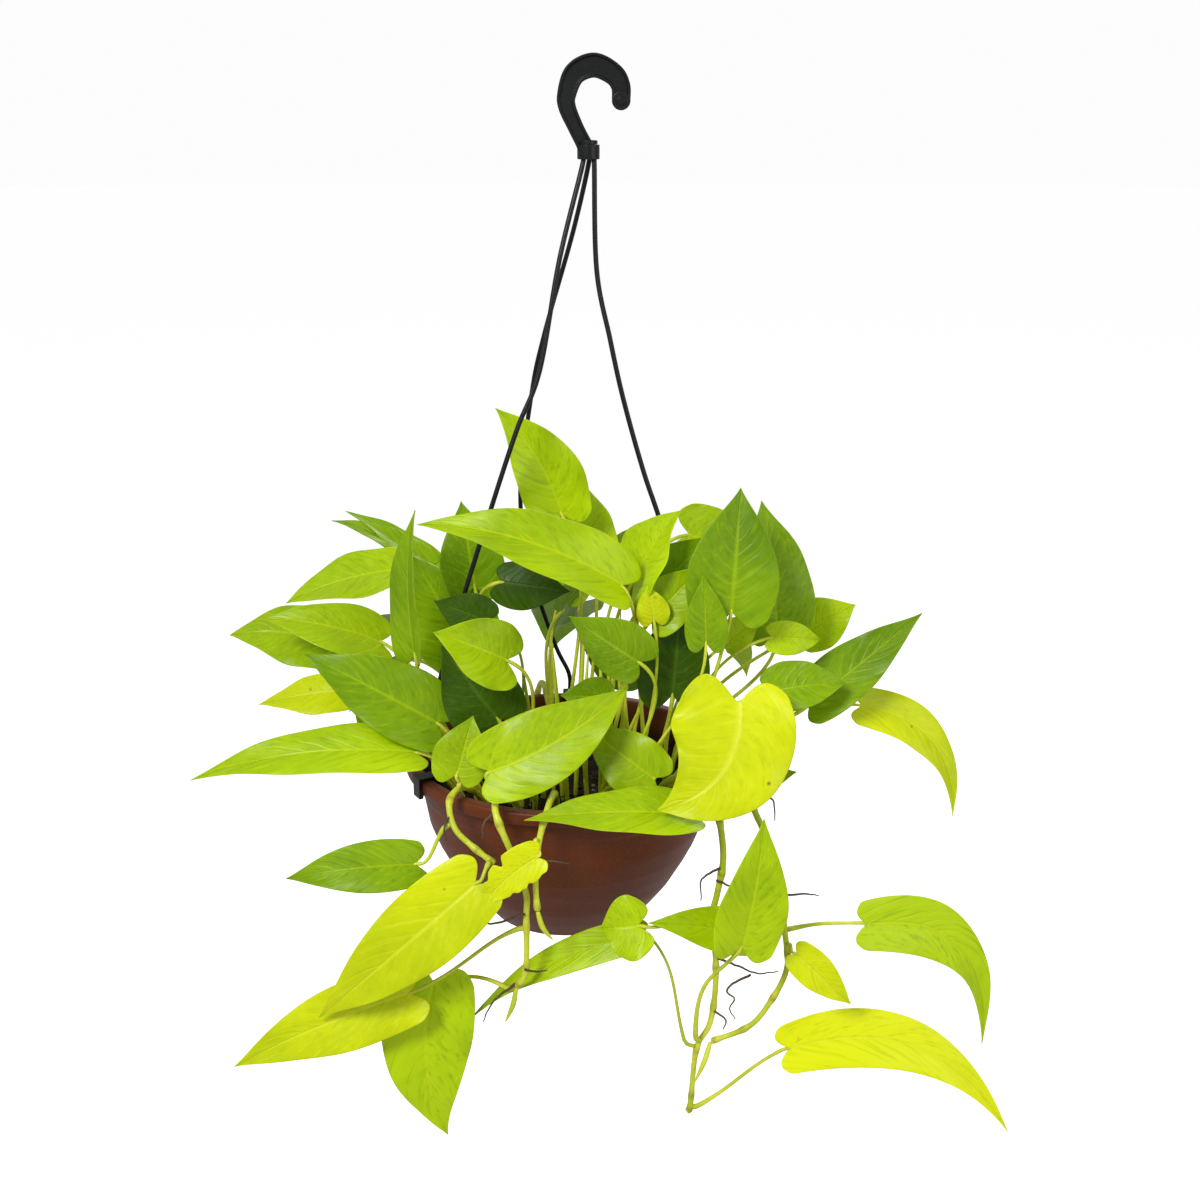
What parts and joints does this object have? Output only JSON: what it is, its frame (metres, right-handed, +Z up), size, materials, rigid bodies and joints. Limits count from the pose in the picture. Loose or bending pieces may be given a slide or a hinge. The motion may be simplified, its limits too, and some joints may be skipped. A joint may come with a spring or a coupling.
{
  "type": "hanging_pothos",
  "caption": "Neon pothos with lime and yellow heart-shaped leaves trailing over a brown plastic hanging bowl pot with a black hook and clip-on hanger arms",
  "frame": {"origin": "the bearing line of the hook, at the top of the clear bow, where the part hangs", "axes": "+Z up; +X to the right with the trailing vines coming to the viewer; -Y is the viewer's side"},
  "size_m": [0.515, 0.3151, 0.6581],
  "materials": {
    "pot_brown": "terracotta brown moulded polypropylene, satin",
    "hanger_black": "black moulded polypropylene, satin",
    "potting_soil": "dark peat mix with fibres and white perlite, rough",
    "stem_green": "living yellow-green stem, satin",
    "leaf_lime": "living leaf, bright lime, waxy",
    "leaf_yellow": "living leaf, yellow, waxy",
    "leaf_green": "living leaf, mid green, waxy",
    "leaf_dark": "living leaf, shaded dark green, waxy"
  },
  "bodies": {
    "root": {"arm_back": "hanger_black", "arm_left": "hanger_black", "arm_right": "hanger_black", "hook": "hanger_black", "leaf_adj_right": "leaf_green", "leaf_back_left": "leaf_lime", "leaf_big_right": "leaf_green", "leaf_bright_right": "leaf_lime", "leaf_crown": "leaf_lime", "leaf_crown_right": "leaf_lime", "leaf_dark_centre": "leaf_dark", "leaf_dark_low": "leaf_dark", "leaf_dark_right": "leaf_dark", "leaf_droop_right": "leaf_yellow", "leaf_fan": "leaf_green", "leaf_far_left": "leaf_lime", "leaf_far_right": "leaf_green", "leaf_front_centre": "leaf_lime", "leaf_front_heart": "leaf_yellow", "leaf_green_left": "leaf_green", "leaf_heart_up": "leaf_green", "leaf_light_centre": "leaf_lime", "leaf_lime_top": "leaf_lime", "leaf_long_centre": "leaf_lime", "leaf_long_left": "leaf_lime", "leaf_mid_left": "leaf_lime", "leaf_mid_right": "leaf_green", "leaf_narrow": "leaf_green", "leaf_olive": "leaf_green", "leaf_peak": "leaf_green", "leaf_rear_centre": "leaf_green", "leaf_rear_drop": "leaf_green", "leaf_rear_left": "leaf_green", "leaf_rear_low": "leaf_lime", "leaf_rear_right": "leaf_lime", "leaf_rim_front": "leaf_lime", "leaf_small_front": "leaf_lime", "leaf_t_front": "leaf_lime", "leaf_t_green": "leaf_green", "leaf_t_heart": "leaf_lime", "leaf_t_long": "leaf_yellow", "leaf_t_low_right": "leaf_yellow", "leaf_t_lower": "leaf_yellow", "leaf_t_right": "leaf_lime", "leaf_t_small": "leaf_lime", "leaf_t_tip": "leaf_yellow", "leaf_t_twist": "leaf_lime", "leaf_thin_back": "leaf_green", "leaf_top_right": "leaf_lime", "leaf_triangle": "leaf_lime", "leaf_under_heart": "leaf_green", "leaf_yellow_left": "leaf_yellow", "pot": "pot_brown", "soil": "potting_soil", "vine_far_left": "stem_green", "vine_far_right": "stem_green", "vine_front": "stem_green", "vine_left": "stem_green", "vine_rear": "stem_green", "vine_right": "stem_green"}
  },
  "joints": []
}
